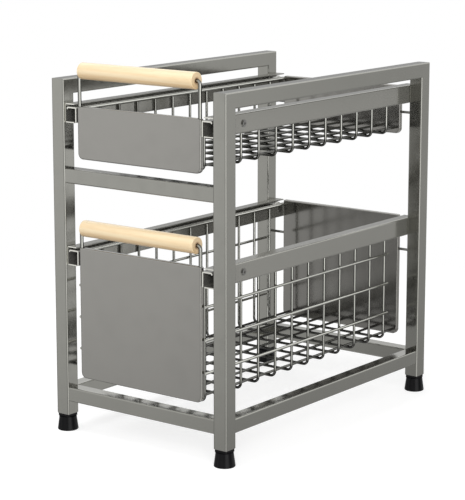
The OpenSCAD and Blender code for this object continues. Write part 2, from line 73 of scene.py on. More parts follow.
class NodeSheet:
    """A node tree with short calls for adding and wiring nodes.

    Attributes:
        STOP_CEILING: Highest value that a row of stops can hold.
    """

    STOP_CEILING = 4.0

    def __init__(self, tree: bpy.types.NodeTree) -> None:
        """Keeps the tree that the calls work on."""
        self.tree = tree

    def add(self, kind: str, inputs: dict[str | int, object] | None = None,
            **settings: object) -> bpy.types.Node:
        """Adds a node and feeds its inputs.

        Args:
            kind: The node's Blender type.
            inputs: A value or an output socket for each input, by the input's name or number.
            settings: Properties of the node, set by name.

        Returns:
            The new node.
        """
        node = self.tree.nodes.new(kind)
        for name, value in settings.items():
            setattr(node, name, value)
        for socket, source in (inputs or {}).items():
            self.feed(node, socket, source)
        return node

    def feed(self, node: bpy.types.Node, socket: str | int, source: object) -> None:
        """Sets an input to a value, or links an output to it.

        Args:
            node: The node that has the input.
            socket: The input's name or number.
            source: A value or an output socket.
        """
        target = node.inputs[socket]
        if isinstance(source, bpy.types.NodeSocket):
            self.tree.links.new(source, target)
        else:
            target.default_value = source

    def maths(self, operation: str, first: object, second: object = 0.0) -> bpy.types.NodeSocket:
        """Adds a Math node and returns its output."""
        return self.add("ShaderNodeMath", {0: first, 1: second}, operation=operation).outputs[0]

    def vector(self, operation: str, first: object, second: object) -> bpy.types.NodeSocket:
        """Adds a Vector Math node and returns its output vector."""
        return self.add("ShaderNodeVectorMath", {0: first, 1: second}, operation=operation).outputs[0]

    def length(self, where: object) -> bpy.types.NodeSocket:
        """Returns the length of a vector."""
        return self.add("ShaderNodeVectorMath", {0: where}, operation="LENGTH").outputs["Value"]

    def blend(self, factor: object, first: object, second: object) -> bpy.types.NodeSocket:
        """Mixes two colours, with the factor as the second one's share, and returns the mix."""
        return self.add("ShaderNodeMix", {0: factor, 6: first, 7: second}, data_type="RGBA").outputs[2]

    def spread(self, value: object, low: object, high: object, to_low: object, to_high: object,
               smooth: bool = True) -> bpy.types.NodeSocket:
        """Maps a range of values to another range.

        Args:
            value: The value to map.
            low: Low end of its range.
            high: High end of its range.
            to_low: What the low end becomes.
            to_high: What the high end becomes.
            smooth: Whether the ends are eased.

        Returns:
            The mapped value.
        """
        inputs = dict(enumerate((value, low, high, to_low, to_high)))
        easing = "SMOOTHSTEP" if smooth else "LINEAR"
        return self.add("ShaderNodeMapRange", inputs, interpolation_type=easing).outputs[0]

    def steps(self, share: bpy.types.NodeSocket, stops: Stops, span: float) -> bpy.types.NodeSocket:
        """Reads a value off a row of stops.

        Args:
            share: Where along the row, from 0 to 1.
            stops: Angle in degrees and value of each stop, in order; no value is over the ceiling.
            span: Angle that the whole row takes up, half of it below zero.

        Returns:
            The value.
        """
        node = self.add("ShaderNodeValToRGB", {0: share})
        ramp = node.color_ramp
        ramp.interpolation = "EASE"
        while len(ramp.elements) < len(stops):
            ramp.elements.new(0.5)
        for element, (angle, value) in zip(ramp.elements, stops):
            element.position = angle / span + 0.5
            element.color = (*[value / self.STOP_CEILING] * 3, 1)
        return self.maths("MULTIPLY", node.outputs[0], self.STOP_CEILING)

    def noise(self, where: bpy.types.NodeSocket, scale: object, detail: float) -> bpy.types.NodeSocket:
        """Adds a noise texture, with its detail in octaves, and returns its value."""
        inputs = {"Vector": where, "Scale": scale, "Detail": detail}
        return self.add("ShaderNodeTexNoise", inputs).outputs[0]


class SharedEffects:
    """The shader node groups that several finishes use, each built once.

    Attributes:
        SMEAR_FINENESS: How much finer the metal's smears are than its clouds.
        RIPPLE_FINENESS: How much finer its ripple is than its clouds.
        SMEAR_RANGE: Noise values between which a smear comes in.
        PAINTED_FACE_REACH: Distances from the painted face's plane between which its painted highlight or
            painted shade ends.
        GRAIN_STRETCH: Scale of the wood's pattern along X, Y and Z.
        OFF_AXIS: Factors that leave a vector only what lies across the grip's axis.
        WAVER_SCALE: Scale of the noise that bends the rings.
        WAVER: How many rings the bending moves them.
        FIBRE_SCALE: Scale of the fibres.
        PORE_RANGE: Noise values between which a pore comes in.
        RING_SHARE: Share of the dark tone that the rings bring.
        FIBRE_SHARE: Share of the dark tone that the fibres bring.
        UNDERSIDE_SHADE_SHARE: Share of the dark tone on the underside, a painted shade.
        PORE_SHARE: Share of the dark tone in the pores.
        END_SHARE: Share of the dark tone on the end grain.
        END_START: Where the end grain's tone starts to fade, as a share of its radius.
        HOLE_SHADE_SHARE: Share of the painted shade round the hole, at its edge.
        HOLE_SHADE_REACH: Where the painted shade round the hole ends, in radii of the hole.
        FIBRE_GLOSS: Noise values of the fibres and the roughness of the wood at each.
        PATCH_SCALE: Scale of the dust on moulded plastic.
        PATCH_ROUGHNESS: Roughness that its patches add.
        DUST_RANGE: Noise values between which the dust comes in.
    """

    SMEAR_FINENESS = 3.1
    RIPPLE_FINENESS = 12.0
    SMEAR_RANGE = (0.42, 0.72)
    PAINTED_FACE_REACH = (0.0001, 0.0003)
    GRAIN_STRETCH = (0.045, 1.0, 1.0)
    OFF_AXIS = (0.0, 1.0, 1.0)
    WAVER_SCALE = 90.0
    WAVER = 3.0
    FIBRE_SCALE = 1400.0
    PORE_RANGE = (0.58, 0.7)
    RING_SHARE = 0.35
    FIBRE_SHARE = 0.4
    UNDERSIDE_SHADE_SHARE = 0.75
    PORE_SHARE = 0.22
    END_SHARE = 0.55
    END_START = 0.93
    HOLE_SHADE_SHARE = 0.95
    HOLE_SHADE_REACH = 2.4
    FIBRE_GLOSS = (0.3, 0.75, 0.34, 0.5)
    PATCH_SCALE = 60.0
    PATCH_ROUGHNESS = 0.12
    DUST_RANGE = (0.45, 0.75)

    def __init__(self) -> None:
        """Builds the groups."""
        self.metal_skin = self._metal_skin()
        self.timber = self._timber()
        self.moulded = self._moulded()

    @staticmethod
    def _start(name: str, inputs: dict[str, object]) -> NodeSheet:
        """Starts a group with its sockets and its two end nodes.

        Args:
            name: The group's name.
            inputs: Default of each input by its name: a colour of four numbers, a vector of three or a number.

        Returns:
            The sheet of the new group, with its end nodes named In and Out.
        """
        tree = bpy.data.node_groups.new(name, "ShaderNodeTree")
        kinds = {1: "NodeSocketFloat", 3: "NodeSocketVector", 4: "NodeSocketColor"}
        for label, value in inputs.items():
            kind = kinds[len(value) if isinstance(value, tuple) else 1]
            tree.interface.new_socket(name=label, in_out="INPUT", socket_type=kind).default_value = value
        for label, kind in (("Color", kinds[4]), ("Roughness", kinds[1]), ("Height", kinds[1])):
            tree.interface.new_socket(name=label, in_out="OUTPUT", socket_type=kind)
        sheet = NodeSheet(tree)
        sheet.add("NodeGroupInput", name="In")
        sheet.add("NodeGroupOutput", name="Out")
        return sheet

    def _metal_skin(self) -> bpy.types.NodeTree:
        """Builds the plated metal's faint clouds, smears and ripple, with painted shade low down and a painted
        highlight or painted shade on one face.

        Returns:
            A group that puts out a colour, a roughness and a height.
        """
        sheet = self._start("metal_skin", {
            "Tone": (0.4, 0.4, 0.4, 1.0), "Clouding": 0.08, "Roughness": 0.15, "Smears": 0.05, "Scale": 20.0,
            "Ripple": 0.05, "Shade Height": -1.0, "Shade Band": 0.01, "Shade Level": 1.0, "Painted Face Plane": -9.0,
            "Painted Face Gain": 1.0})
        given, out = sheet.tree.nodes["In"].outputs, sheet.tree.nodes["Out"]
        where = sheet.add("ShaderNodeTexCoord").outputs["Object"]
        scale = given["Scale"]
        clouds = sheet.noise(where, scale, detail=4.0)
        smears = sheet.noise(where, sheet.maths("MULTIPLY", scale, self.SMEAR_FINENESS), detail=6.0)
        ripple = sheet.noise(where, sheet.maths("MULTIPLY", scale, self.RIPPLE_FINENESS), detail=2.0)
        shade = sheet.maths("MULTIPLY", sheet.maths("SUBTRACT", clouds, 0.5), given["Clouding"])
        _, depth, height = sheet.add("ShaderNodeSeparateXYZ", {0: where}).outputs
        # Painted shade: the tone darkens below the given height.
        foot_shade_top = sheet.maths("ADD", given["Shade Height"], given["Shade Band"])
        foot_shade = sheet.spread(height, given["Shade Height"], foot_shade_top, given["Shade Level"], 1.0)
        # Painted highlight or painted shade: the tone's gain on the face at the given plane.
        off_painted_face = sheet.maths("ABSOLUTE", sheet.maths("SUBTRACT", depth, given["Painted Face Plane"]))
        painted_face = sheet.spread(off_painted_face, *self.PAINTED_FACE_REACH, given["Painted Face Gain"], 1.0)
        value = sheet.maths("ADD", sheet.maths("MULTIPLY", shade, 2.0), 1.0)
        value = sheet.maths("MULTIPLY", value, sheet.maths("MULTIPLY", foot_shade, painted_face))
        toned = sheet.add("ShaderNodeHueSaturation", {"Color": given["Tone"], "Value": value})
        sheet.feed(out, "Color", toned.outputs[0])
        smeared = sheet.spread(smears, *self.SMEAR_RANGE, 0.0, 1.0)
        rougher = sheet.maths("MULTIPLY", smeared, given["Smears"])
        sheet.feed(out, "Roughness", sheet.maths("ADD", given["Roughness"], rougher))
        waves = sheet.maths("MULTIPLY", ripple, given["Ripple"])
        sheet.feed(out, "Height", sheet.maths("ADD", clouds, waves))
        return sheet.tree

    def _timber(self) -> bpy.types.NodeTree:
        """Builds pale close-grained wood that was turned along X, with painted shade on its underside and round
        its holes.

        Returns:
            A group that puts out a colour, a roughness and a height.
        """
        sheet = self._start("timber", {
            "Light": (0.9, 0.75, 0.5, 1.0), "Dark": (0.7, 0.5, 0.3, 1.0), "Burnt": (0.3, 0.15, 0.06, 1.0),
            "Heart": (0.0, 0.0, 0.0), "Middle": (0.0, 0.0, 0.0), "Ring Width": 0.002, "End Radius": 0.008,
            "Hole Radius": 0.002})
        given, out = sheet.tree.nodes["In"].outputs, sheet.tree.nodes["Out"]
        coords = sheet.add("ShaderNodeTexCoord").outputs["Object"]
        away = sheet.vector("SUBTRACT", coords, given["Heart"])
        stretched = sheet.vector("MULTIPLY", away, self.GRAIN_STRETCH)
        bend = sheet.noise(stretched, self.WAVER_SCALE, detail=2.0)
        radius = sheet.length(sheet.vector("MULTIPLY", stretched, self.OFF_AXIS))
        turns = sheet.maths("ADD", sheet.maths("DIVIDE", radius, given["Ring Width"]),
                            sheet.maths("MULTIPLY", bend, self.WAVER))
        wave = sheet.maths("SINE", sheet.maths("MULTIPLY", turns, math.tau))
        rings = sheet.maths("MULTIPLY", sheet.maths("ADD", wave, 1.0), 0.5)
        fibres = sheet.noise(stretched, self.FIBRE_SCALE, detail=3.0)
        pores = sheet.spread(fibres, *self.PORE_RANGE, 0.0, 1.0)
        share = sheet.maths("ADD", sheet.maths("MULTIPLY", rings, self.RING_SHARE),
                            sheet.maths("MULTIPLY", fibres, self.FIBRE_SHARE))
        off_middle = sheet.vector("SUBTRACT", coords, given["Middle"])
        height = sheet.add("ShaderNodeSeparateXYZ", {0: off_middle}).outputs["Z"]
        end = given["End Radius"]
        # Painted shade: the dark tone on the grip's lower half.
        underside_shade = sheet.spread(height, sheet.maths("MULTIPLY", end, -1.0), 0.0, self.UNDERSIDE_SHADE_SHARE, 0.0)
        tone = sheet.blend(sheet.maths("ADD", share, underside_shade), given["Light"], given["Dark"])
        grained = sheet.blend(sheet.maths("MULTIPLY", pores, self.PORE_SHARE), tone, given["Dark"])
        spoke = sheet.length(sheet.vector("MULTIPLY", off_middle, self.OFF_AXIS))
        end_start = sheet.maths("MULTIPLY", end, self.END_START)
        end_grain = sheet.spread(spoke, end_start, end, self.END_SHARE, 0.0)
        ended = sheet.blend(end_grain, grained, given["Dark"])
        # Painted shade round the hole in each end.
        hole = given["Hole Radius"]
        hole_shade_end = sheet.maths("MULTIPLY", hole, self.HOLE_SHADE_REACH)
        hole_shade_mask = sheet.spread(spoke, hole, hole_shade_end, self.HOLE_SHADE_SHARE, 0.0)
        sheet.feed(out, "Color", sheet.blend(hole_shade_mask, ended, given["Burnt"]))
        sheet.feed(out, "Roughness", sheet.spread(fibres, *self.FIBRE_GLOSS))
        sheet.feed(out, "Height", sheet.maths("SUBTRACT", sheet.maths("MULTIPLY", fibres, 0.5), pores))
        return sheet.tree

    def _moulded(self) -> bpy.types.NodeTree:
        """Builds the fine spark texture and dust of moulded plastic.

        Returns:
            A group that puts out a colour, a roughness and a height.
        """
        sheet = self._start("moulded", {
            "Tone": (0.03, 0.03, 0.03, 1.0), "Dust": (0.2, 0.2, 0.2, 1.0), "Dust Share": 0.05, "Roughness": 0.4,
            "Scale": 900.0})
        given, out = sheet.tree.nodes["In"].outputs, sheet.tree.nodes["Out"]
        where = sheet.add("ShaderNodeTexCoord").outputs["Object"]
        grain = sheet.noise(where, given["Scale"], detail=2.0)
        patches = sheet.noise(where, self.PATCH_SCALE, detail=4.0)
        dusty = sheet.spread(patches, *self.DUST_RANGE, 0.0, 1.0)
        dust = sheet.maths("MULTIPLY", dusty, given["Dust Share"])
        sheet.feed(out, "Color", sheet.blend(dust, given["Tone"], given["Dust"]))
        rougher = sheet.maths("MULTIPLY", patches, self.PATCH_ROUGHNESS)
        sheet.feed(out, "Roughness", sheet.maths("ADD", given["Roughness"], rougher))
        sheet.feed(out, "Height", grain)
        return sheet.tree


# --------------------------------------------------------------------------- finishes


def dressed_shader(name: str, effect: bpy.types.NodeTree, values: dict[str, object],
                   bump: float, constants: dict[str, object]) -> bpy.types.Material:
    """Builds a material from a shared effect and a Principled shader.

    Args:
        name: The material's name.
        effect: The shader node group that makes its pattern.
        values: Values of the group's inputs.
        bump: Height of the pattern's relief in metres.
        constants: Values that are the same all over the surface, set on the shader's own sockets.

    Returns:
        The material.
    """
    material = bpy.data.materials.new(name)
    material.use_nodes = True
    sheet = NodeSheet(material.node_tree)
    shader = material.node_tree.nodes["Principled BSDF"]
    group = sheet.add("ShaderNodeGroup", values, node_tree=effect)
    sheet.feed(shader, "Base Color", group.outputs["Color"])
    sheet.feed(shader, "Roughness", group.outputs["Roughness"])
    inputs = {"Strength": 1.0, "Distance": bump, "Height": group.outputs["Height"]}
    sheet.feed(shader, "Normal", sheet.add("ShaderNodeBump", inputs).outputs[0])
    for socket, value in constants.items():
        sheet.feed(shader, socket, value)
    return material


@dataclass(frozen=True)
class PlatedFinish:
    """Grey plated steel with a gloss that shows its neighbours.

    Attributes:
        name: The material's name.
        tone: Its colour.
        roughness: Roughness of the clean metal.
        clouding: How much the tone changes from cloud to cloud.
        smears: Roughness that the smears add.
        scale: Scale of the clouds.
        ripple: Height of the ripple beside the clouds' height.
        relief: Height of the whole relief in metres.
        metallic: Share of metal.
        foot_shade: Painted shade low down: height below which the tone is darkened, height of the change above
            it, and share of the tone left.
        painted_face: Place along Y of a face that gets a painted highlight or painted shade, and the gain of
            the tone there.
        edge_shade_share: Share of the tone left where the surface turns away, a painted shade on the wires'
            edges.
        edge_shade_band: How far turned away the change starts and ends.
        centre_highlight_gain: Gain of the tone where the surface faces the eye, a painted highlight, on
            finishes with edge shade.
    """

    name: str
    tone: Colour
    roughness: float = 0.12
    clouding: float = 0.025
    smears: float = 0.05
    scale: float = 18.0
    ripple: float = 0.04
    relief: float = 0.0000006
    metallic: float = 1.0
    foot_shade: tuple[float, float, float] = (-1.0, 0.01, 1.0)
    painted_face: tuple[float, float] = (-9.0, 1.0)
    edge_shade_share: float = 1.0
    edge_shade_band: tuple[float, float] = (0.08, 0.4)
    centre_highlight_gain: float = 1.3

    def build(self, effects: SharedEffects) -> bpy.types.Material:
        """Builds the material.

        Args:
            effects: The shared node groups.

        Returns:
            The material.
        """
        material = dressed_shader(
            self.name, effects.metal_skin,
            {"Tone": (*self.tone, 1.0), "Clouding": self.clouding, "Roughness": self.roughness,
             "Smears": self.smears, "Scale": self.scale, "Ripple": self.ripple,
             "Shade Height": self.foot_shade[0], "Shade Band": self.foot_shade[1], "Shade Level": self.foot_shade[2],
             "Painted Face Plane": self.painted_face[0], "Painted Face Gain": self.painted_face[1]},
            self.relief, {"Metallic": self.metallic},
        )
        if self.edge_shade_share < 1.0:
            self.paint_edge_shade_and_highlight(material)
        return material

    def paint_edge_shade_and_highlight(self, material: bpy.types.Material) -> None:
        """Paints shade where the surface turns away and a highlight where it faces the eye, on thin round wire.

        Args:
            material: The material.
        """
        sheet = NodeSheet(material.node_tree)
        tone = material.node_tree.nodes["Principled BSDF"].inputs["Base Color"]
        # Painted shade at the edges and painted highlight in the middle, by how far the surface turns from the
        # eye.
        turned = sheet.add("ShaderNodeLayerWeight").outputs["Facing"]
        value = sheet.spread(turned, *self.edge_shade_band, self.centre_highlight_gain, self.edge_shade_share)
        inputs = {"Color": tone.links[0].from_socket, "Value": value}
        sheet.feed(tone.node, "Base Color", sheet.add("ShaderNodeHueSaturation", inputs).outputs[0])


@dataclass(frozen=True)
class TimberFinish:
    """Pale lacquered wood with darker end grain and painted shade round the holes.

    Attributes:
        name: The material's name.
        heart: Point that the tree's heart passes through, along X.
        middle: Middle of the turned piece.
        end_radius: Radius of its flat ends.
        hole_radius: Radius of the holes in them.
        light: Colour of the pale wood.
        dark: Colour of the dark wood.
        burnt: Colour of the painted shade round the holes.
        ring_width: Width of a ring.
        relief: Height of the grain's relief in metres.
        coat: Weight of the lacquer.
        coat_roughness: Its roughness.
    """

    name: str
    heart: Point
    middle: Point
    end_radius: float
    hole_radius: float = 0.0021
    light: Colour = (0.87, 0.73, 0.49)
    dark: Colour = (0.75, 0.53, 0.29)
    burnt: Colour = (0.30, 0.15, 0.06)
    ring_width: float = 0.0028
    relief: float = 0.00005
    coat: float = 0.8
    coat_roughness: float = 0.3

    def build(self, effects: SharedEffects) -> bpy.types.Material:
        """Builds the material.

        Args:
            effects: The shared node groups.

        Returns:
            The material.
        """
        return dressed_shader(
            self.name, effects.timber,
            {"Light": (*self.light, 1.0), "Dark": (*self.dark, 1.0), "Burnt": (*self.burnt, 1.0),
             "Heart": self.heart, "Middle": self.middle, "Ring Width": self.ring_width,
             "End Radius": self.end_radius, "Hole Radius": self.hole_radius},
            self.relief, {"Metallic": 0.0, "Coat Weight": self.coat, "Coat Roughness": self.coat_roughness},
        )


@dataclass(frozen=True)
class PlasticFinish:
    """Moulded plastic with a fine texture.

    Attributes:
        name: The material's name.
        tone: Its colour.
        dust: The dust's colour.
        dust_share: How much of the dust shows.
        roughness: Its roughness.
        scale: Scale of the texture.
        shine: Strength of its gloss.
        relief: Height of the texture in metres.
    """

    name: str
    tone: Colour
    dust: Colour
    dust_share: float = 0.06
    roughness: float = 0.36
    scale: float = 900.0
    shine: float = 0.5
    relief: float = 0.00003

    def build(self, effects: SharedEffects) -> bpy.types.Material:
        """Builds the material.

        Args:
            effects: The shared node groups.

        Returns:
            The material.
        """
        return dressed_shader(
            self.name, effects.moulded,
            {"Tone": (*self.tone, 1.0), "Dust": (*self.dust, 1.0), "Dust Share": self.dust_share,
             "Roughness": self.roughness, "Scale": self.scale},
            self.relief, {"Metallic": 0.0, "Specular IOR Level": self.shine},
        )


# --------------------------------------------------------------------------- repeated wires


class WireTrees:
    """The Geometry Nodes trees that repeat the wires and their weld beads."""

    def __init__(self) -> None:
        """Builds the trees."""
        self.swept_row = self._swept_row()
        self.bead_grid = self._bead_grid()

    @staticmethod
    def _start(name: str, inputs: list[tuple[str, str]]) -> NodeSheet:
        """Starts a tree with its sockets and its two end nodes.

        Args:
            name: The tree's name.
            inputs: Name and socket type of each input after the geometry.

        Returns:
            The sheet of the new tree, with its end nodes named In and Out.
        """
        tree = bpy.data.node_groups.new(name, "GeometryNodeTree")
        tree.interface.new_socket(name="Geometry", in_out="INPUT", socket_type="NodeSocketGeometry")
        for label, kind in inputs:
            tree.interface.new_socket(name=label, in_out="INPUT", socket_type=kind)
        tree.interface.new_socket(name="Geometry", in_out="OUTPUT", socket_type="NodeSocketGeometry")
        sheet = NodeSheet(tree)
        sheet.add("NodeGroupInput", name="In")
        sheet.add("NodeGroupOutput", name="Out")
        return sheet

    @staticmethod
    def _finish(sheet: NodeSheet, geometry: bpy.types.NodeSocket) -> bpy.types.NodeTree:
        """Ends a tree in Realize Instances and Set Material.

        Args:
            sheet: The tree's sheet.
            geometry: The geometry to end with.

        Returns:
            The finished tree.
        """
        real = sheet.add("GeometryNodeRealizeInstances", {"Geometry": geometry})
        coat = sheet.add("GeometryNodeSetMaterial", {
            "Geometry": real.outputs[0], "Material": sheet.tree.nodes["In"].outputs["Finish"]})
        sheet.feed(sheet.tree.nodes["Out"], 0, coat.outputs[0])
        return sheet.tree

    def _swept_row(self) -> bpy.types.NodeTree:
        """Builds a row of equal wires that follow the curve it is given.

        Returns:
            The tree.
        """
        sheet = self._start("swept_wire_row", [
            ("Count", "NodeSocketInt"), ("Step", "NodeSocketVector"), ("Wire Radius", "NodeSocketFloat"),
            ("Sides", "NodeSocketInt"), ("Finish", "NodeSocketMaterial")])
        given = sheet.tree.nodes["In"].outputs
        ring = sheet.add("GeometryNodeCurvePrimitiveCircle", {
            "Resolution": given["Sides"], "Radius": given["Wire Radius"]})
        wire = sheet.add("GeometryNodeCurveToMesh", {
            "Curve": given["Geometry"], "Profile Curve": ring.outputs[0], "Fill Caps": True})
        line = {"Count": given["Count"], "Offset": given["Step"]}
        row = sheet.add("GeometryNodeMeshLine", line, mode="OFFSET")
        place = sheet.add("GeometryNodeInstanceOnPoints", {
            "Points": row.outputs[0], "Instance": wire.outputs[0]})
        return self._finish(sheet, place.outputs[0])

    def _bead_grid(self) -> bpy.types.NodeTree:
        """Builds a grid of flattened weld beads.

        Returns:
            The tree.
        """
        sheet = self._start("weld_bead_grid", [
            ("Start", "NodeSocketVector"), ("Count A", "NodeSocketInt"), ("Step A", "NodeSocketVector"),
            ("Count B", "NodeSocketInt"), ("Step B", "NodeSocketVector"), ("Bead Size", "NodeSocketVector"),
            ("Finish", "NodeSocketMaterial")])
        given = sheet.tree.nodes["In"].outputs
        lines = [
            sheet.add("GeometryNodeMeshLine", {"Count": given[f"Count {way}"], "Offset": given[f"Step {way}"]},
                      mode="OFFSET") for way in "AB"]
        sheet.feed(lines[0], "Start Location", given["Start"])
        grid = sheet.add("GeometryNodeInstanceOnPoints", {
            "Points": lines[0].outputs[0], "Instance": lines[1].outputs[0]})
        spots = sheet.add("GeometryNodeRealizeInstances", {"Geometry": grid.outputs[0]})
        ball = sheet.add("GeometryNodeMeshIcoSphere", {"Radius": 1.0, "Subdivisions": 2})
        place = sheet.add("GeometryNodeInstanceOnPoints", {
            "Points": spots.outputs[0], "Instance": ball.outputs[0], "Scale": given["Bead Size"]})
        return self._finish(sheet, place.outputs[0])


def wire_path(name: str, points: list[Vector]) -> bpy.types.Object:
    """Makes an open curve through points.

    Args:
        name: The object's name.
        points: The points, in metres.

    Returns:
        The curve object.
    """
    curve = bpy.data.curves.new(name, "CURVE")
    curve.dimensions = "3D"
    spline = curve.splines.new("POLY")
    spline.points.add(len(points) - 1)
    for slot, point in zip(spline.points, points):
        slot.co = (*point, 1.0)
    holder = bpy.data.objects.new(name, curve)
    bpy.context.scene.collection.objects.link(holder)
    return holder


def grow(name: str, tree: bpy.types.NodeTree, base: bpy.types.Object,
         values: dict[str, object]) -> bpy.types.Object:
    """Runs a Geometry Nodes tree on an object and keeps the result as a plain mesh.

    Args:
        name: Name of the finished piece.
        tree: The tree.
        base: The object that carries the tree; it is removed afterwards.
        values: Values of the tree's named inputs.

    Returns:
        The finished piece.
    """
    modifier = base.modifiers.new("grow", "NODES")
    modifier.node_group = tree
    for item in tree.interface.items_tree:
        if item.item_type == "SOCKET" and item.in_out == "INPUT" and item.name in values:
            modifier[item.identifier] = values[item.name]
    view = bpy.context.evaluated_depsgraph_get()
    mesh = bpy.data.meshes.new_from_object(base.evaluated_get(view), depsgraph=view)
    bpy.data.objects.remove(base)
    return settle(name, mesh)


def settle(name: str, mesh: bpy.types.Mesh) -> bpy.types.Object:
    """Cleans a mesh, turns its faces outwards, smooths it and links it as a piece.

    Args:
        name: The piece's name.
        mesh: Its mesh.

    Returns:
        The piece.
    """
    work = bmesh.new()
    work.from_mesh(mesh)
    bmesh.ops.remove_doubles(work, verts=work.verts, dist=MERGE_DISTANCE)
    bmesh.ops.recalc_face_normals(work, faces=work.faces)
    work.to_mesh(mesh)
    work.free()
    mesh.name = name
    mesh.shade_smooth()
    mesh.set_sharp_from_angle(angle=SHARP_ANGLE)
    piece = bpy.data.objects.new(name, mesh)
    bpy.context.scene.collection.objects.link(piece)
    return piece


# --------------------------------------------------------------------------- sub-assemblies


def dress(node: str, material: bpy.types.Material) -> None:
    """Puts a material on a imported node.

    Args:
        node: The node's name.
        material: The material.
    """
    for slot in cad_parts[node].material_slots:
        slot.material = material
    LOG.info("dressed %s with %s", node, material.name)


@dataclass
class Carcass:
    """The fixed frame: posts, rails, back rods, feet and outer runners with their front rollers.

    Attributes:
        tube: Finish of the posts and rails.
        runner: Finish of the outer runners.
        wire: Finish of the back rods.
        axle: Finish of the front axles.
        foot: Finish of the feet.
        roller: Finish of the front rollers.
    """

    tube: bpy.types.Material
    runner: bpy.types.Material
    wire: bpy.types.Material
    axle: bpy.types.Material
    foot: bpy.types.Material
    roller: bpy.types.Material

    def build(self) -> None:
        """Dresses every node of the fixed frame."""
        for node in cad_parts:
            if node.startswith(("post_", "top_rail_", "bottom_rail_", "middle_rail_")):
                dress(node, self.tube)
            elif node.startswith("runner_"):
                dress(node, self.runner)
            elif node.startswith("foot_"):
                dress(node, self.foot)
            elif node.startswith("front_roller_"):
                dress(node, self.roller)
        dress("back_rods", self.wire)
        dress("front_axles", self.axle)


